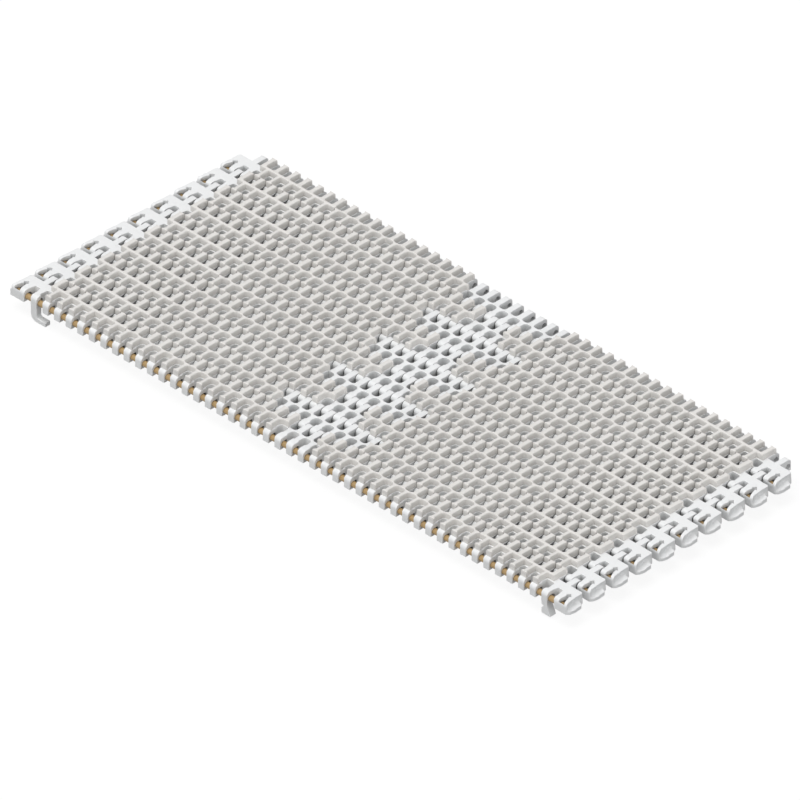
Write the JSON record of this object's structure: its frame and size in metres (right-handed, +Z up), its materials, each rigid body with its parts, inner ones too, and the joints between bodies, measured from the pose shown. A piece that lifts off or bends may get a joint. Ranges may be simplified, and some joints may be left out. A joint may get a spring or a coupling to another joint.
{
  "type": "modular plastic belt",
  "caption": "Side-flexing modular plastic belt: rows of moulded links joined by full-width pins, with raised ribbed grip pads and hold-down feet along both edges.",
  "frame": {"origin": "middle of the belt's length and width, level with the lowest hold-down foot", "axes": "+X across the belt towards the edge with the guide lugs, +Y along the belt from the front row to the rear row, +Z up out of the carrying face"},
  "size_m": [0.6132, 0.2616, 0.0281],
  "materials": {
    "base_plastic": "satin moulded",
    "grip_rubber": "matt overmoulded",
    "pin_plastic": "extruded"
  },
  "bodies": {
    "row_01": {"row_01_left_edge": "base_plastic", "row_01_right_edge": "base_plastic", "row_01_field_modules": "base_plastic", "row_01_flat_module": "base_plastic", "row_01_grip_pads": "grip_rubber"},
    "pin_01": {"pin_01": "pin_plastic"},
    "row_02": {"row_02_left_edge": "base_plastic", "row_02_right_edge": "base_plastic", "row_02_field_modules": "base_plastic", "row_02_flat_module": "base_plastic", "row_02_grip_pads": "grip_rubber"},
    "pin_02": {"pin_02": "pin_plastic"},
    "row_03": {"row_03_left_edge": "base_plastic", "row_03_right_edge": "base_plastic", "row_03_field_modules": "base_plastic", "row_03_flat_module": "base_plastic", "row_03_grip_pads": "grip_rubber"},
    "pin_03": {"pin_03": "pin_plastic"},
    "row_04": {"row_04_left_edge": "base_plastic", "row_04_right_edge": "base_plastic", "row_04_field_modules": "base_plastic", "row_04_flat_module": "base_plastic", "row_04_grip_pads": "grip_rubber"},
    "pin_04": {"pin_04": "pin_plastic"},
    "row_05": {"row_05_left_edge": "base_plastic", "row_05_right_edge": "base_plastic", "row_05_field_modules": "base_plastic", "row_05_flat_module": "base_plastic", "row_05_grip_pads": "grip_rubber"},
    "pin_05": {"pin_05": "pin_plastic"},
    "row_06": {"row_06_left_edge": "base_plastic", "row_06_right_edge": "base_plastic", "row_06_field_modules": "base_plastic", "row_06_flat_module": "base_plastic", "row_06_grip_pads": "grip_rubber"},
    "pin_06": {"pin_06": "pin_plastic"},
    "row_07": {"row_07_left_edge": "base_plastic", "row_07_right_edge": "base_plastic", "row_07_field_modules": "base_plastic", "row_07_flat_module": "base_plastic", "row_07_grip_pads": "grip_rubber"},
    "pin_07": {"pin_07": "pin_plastic"},
    "row_08": {"row_08_left_edge": "base_plastic", "row_08_right_edge": "base_plastic", "row_08_field_modules": "base_plastic", "row_08_flat_module": "base_plastic", "row_08_grip_pads": "grip_rubber"},
    "pin_08": {"pin_08": "pin_plastic"},
    "row_09": {"row_09_left_edge": "base_plastic", "row_09_right_edge": "base_plastic", "row_09_field_modules": "base_plastic", "row_09_flat_module": "base_plastic", "row_09_grip_pads": "grip_rubber"},
    "pin_09": {"pin_09": "pin_plastic"},
    "row_10": {"row_10_left_edge": "base_plastic", "row_10_right_edge": "base_plastic", "row_10_field_modules": "base_plastic", "row_10_flat_module": "base_plastic", "row_10_grip_pads": "grip_rubber"},
    "pin_10": {"pin_10": "pin_plastic"}
  },
  "joints": [
    {"name": "front_pin_slide", "type": "slide", "parent": "row_01", "child": "pin_01", "axis": [0, 1, 0], "range_m": [0, 0.0024]},
    {"name": "pin_02_hinge", "type": "hinge", "parent": "row_01", "child": "pin_02", "pos_m": [0, -0.1016, 0.0167], "axis": [1, 0, 0], "range_deg": [-30, 30]},
    {"name": "row_02_slot_slide", "type": "slide", "parent": "pin_02", "child": "row_02", "axis": [0, -1, 0], "range_m": [0, 0.0024]},
    {"name": "pin_03_hinge", "type": "hinge", "parent": "row_02", "child": "pin_03", "pos_m": [0, -0.0762, 0.0167], "axis": [1, 0, 0], "range_deg": [-30, 30]},
    {"name": "row_03_slot_slide", "type": "slide", "parent": "pin_03", "child": "row_03", "axis": [0, -1, 0], "range_m": [0, 0.0024]},
    {"name": "pin_04_hinge", "type": "hinge", "parent": "row_03", "child": "pin_04", "pos_m": [0, -0.0508, 0.0167], "axis": [1, 0, 0], "range_deg": [-30, 30]},
    {"name": "row_04_slot_slide", "type": "slide", "parent": "pin_04", "child": "row_04", "axis": [0, -1, 0], "range_m": [0, 0.0024]},
    {"name": "pin_05_hinge", "type": "hinge", "parent": "row_04", "child": "pin_05", "pos_m": [0, -0.0254, 0.0167], "axis": [1, 0, 0], "range_deg": [-30, 30]},
    {"name": "row_05_slot_slide", "type": "slide", "parent": "pin_05", "child": "row_05", "axis": [0, -1, 0], "range_m": [0, 0.0024]},
    {"name": "pin_06_hinge", "type": "hinge", "parent": "row_05", "child": "pin_06", "pos_m": [0, 0, 0.0167], "axis": [1, 0, 0], "range_deg": [-30, 30]},
    {"name": "row_06_slot_slide", "type": "slide", "parent": "pin_06", "child": "row_06", "axis": [0, -1, 0], "range_m": [0, 0.0024]},
    {"name": "pin_07_hinge", "type": "hinge", "parent": "row_06", "child": "pin_07", "pos_m": [0, 0.0254, 0.0167], "axis": [1, 0, 0], "range_deg": [-30, 30]},
    {"name": "row_07_slot_slide", "type": "slide", "parent": "pin_07", "child": "row_07", "axis": [0, -1, 0], "range_m": [0, 0.0024]},
    {"name": "pin_08_hinge", "type": "hinge", "parent": "row_07", "child": "pin_08", "pos_m": [0, 0.0508, 0.0167], "axis": [1, 0, 0], "range_deg": [-30, 30]},
    {"name": "row_08_slot_slide", "type": "slide", "parent": "pin_08", "child": "row_08", "axis": [0, -1, 0], "range_m": [0, 0.0024]},
    {"name": "pin_09_hinge", "type": "hinge", "parent": "row_08", "child": "pin_09", "pos_m": [0, 0.0762, 0.0167], "axis": [1, 0, 0], "range_deg": [-30, 30]},
    {"name": "row_09_slot_slide", "type": "slide", "parent": "pin_09", "child": "row_09", "axis": [0, -1, 0], "range_m": [0, 0.0024]},
    {"name": "pin_10_hinge", "type": "hinge", "parent": "row_09", "child": "pin_10", "pos_m": [0, 0.1016, 0.0167], "axis": [1, 0, 0], "range_deg": [-30, 30]},
    {"name": "row_10_slot_slide", "type": "slide", "parent": "pin_10", "child": "row_10", "axis": [0, -1, 0], "range_m": [0, 0.0024]}
  ]
}
